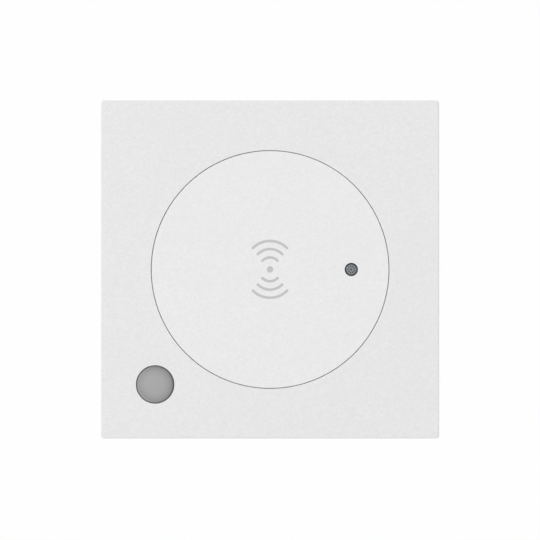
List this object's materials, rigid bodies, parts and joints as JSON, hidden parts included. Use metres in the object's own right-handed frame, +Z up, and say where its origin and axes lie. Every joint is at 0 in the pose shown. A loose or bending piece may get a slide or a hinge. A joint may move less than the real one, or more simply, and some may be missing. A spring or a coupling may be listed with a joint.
{
  "type": "presence sensor",
  "caption": "Flush wall presence sensor: square plate with a round radar disc, status light and function key, clipped to a housing held by leaf springs, with a plug-in bus terminal.",
  "frame": {"origin": "centre of the square flange's rear face, the plane that seats on the support frame", "axes": "+X right, +Z up, +Y into the wall; the front looks along -Y"},
  "size_m": [0.055, 0.0327, 0.055],
  "materials": {
    "white_plate": "fine matte moulded grain",
    "white_disc": "fine matte moulded grain",
    "dark_sleeve": "matte, light-tight",
    "clear_lens": "translucent, with fine dimples",
    "grey_key": "satin, slightly translucent",
    "black_plastic": "satin",
    "steel_sheet": "bright sheet",
    "tinned_metal": "bright tin",
    "white_carrier": "matte moulded",
    "zinc_screw": "bright zinc",
    "dark_laminate": "solder mask",
    "green_laminate": "solder mask",
    "gold_plating": "gold plated",
    "chip_black": "moulded epoxy",
    "led_white": "moulded",
    "passive_brown": "ceramic body",
    "ferrite": "sintered ferrite",
    "copper_wire": "enamelled copper",
    "grey_housing": "light grey moulded",
    "red_plastic": "gloss",
    "anthracite_plastic": "gloss",
    "spring_steel": "stainless spring strip"
  },
  "bodies": {
    "insert": {"switch_body": "steel_sheet", "switch_legs": "tinned_metal", "sensor_carrier": "white_carrier", "carrier_screws": "zinc_screw", "light_guide": "clear_lens", "radar_board": "dark_laminate", "antenna_patches": "gold_plating", "radar_chip": "chip_black", "radar_headers": "chip_black", "radar_pins": "gold_plating", "front_board": "green_laminate", "microcontroller": "chip_black", "clock_crystal": "tinned_metal", "status_led": "led_white", "light_sensor": "chip_black", "front_board_parts": "passive_brown", "link_header": "chip_black", "link_socket": "chip_black", "link_pins": "gold_plating", "rear_board": "green_laminate", "buffer_capacitors": "tinned_metal", "choke_core": "ferrite", "choke_coil": "copper_wire", "bus_chip": "chip_black", "rear_board_parts": "passive_brown", "bus_pins": "gold_plating", "main_housing": "grey_housing", "rear_cover": "grey_housing", "rear_screws": "zinc_screw", "cover_clip_right": "spring_steel", "retaining_spring_right": "spring_steel", "cover_clip_top": "spring_steel", "retaining_spring_top": "spring_steel", "cover_clip_left": "spring_steel", "retaining_spring_left": "spring_steel", "cover_clip_bottom": "spring_steel", "retaining_spring_bottom": "spring_steel"},
    "front_cover": {"front_plate": "white_plate", "sensor_disc": "white_disc", "lens_sleeve": "dark_sleeve", "status_lens": "clear_lens"},
    "function_key": {"function_key": "grey_key", "switch_plunger": "black_plastic"},
    "bus_terminal": {"terminal_positive": "red_plastic", "terminal_negative": "anthracite_plastic", "terminal_contacts": "tinned_metal"}
  },
  "joints": [
    {"name": "front_cover_pull", "type": "slide", "parent": "insert", "child": "front_cover", "axis": [0, -1, 0], "range_m": [0, 0.014], "deforming": ["cover_clip_right", "cover_clip_top", "cover_clip_left", "cover_clip_bottom"]},
    {"name": "function_key_press", "type": "slide", "parent": "insert", "child": "function_key", "axis": [0, 1, 0], "range_m": [0, 0.0005], "stiffness_N_per_m": 800, "springref_m": -0.001},
    {"name": "bus_terminal_pull", "type": "slide", "parent": "insert", "child": "bus_terminal", "axis": [0, 1, 0], "range_m": [0, 0.012]}
  ]
}
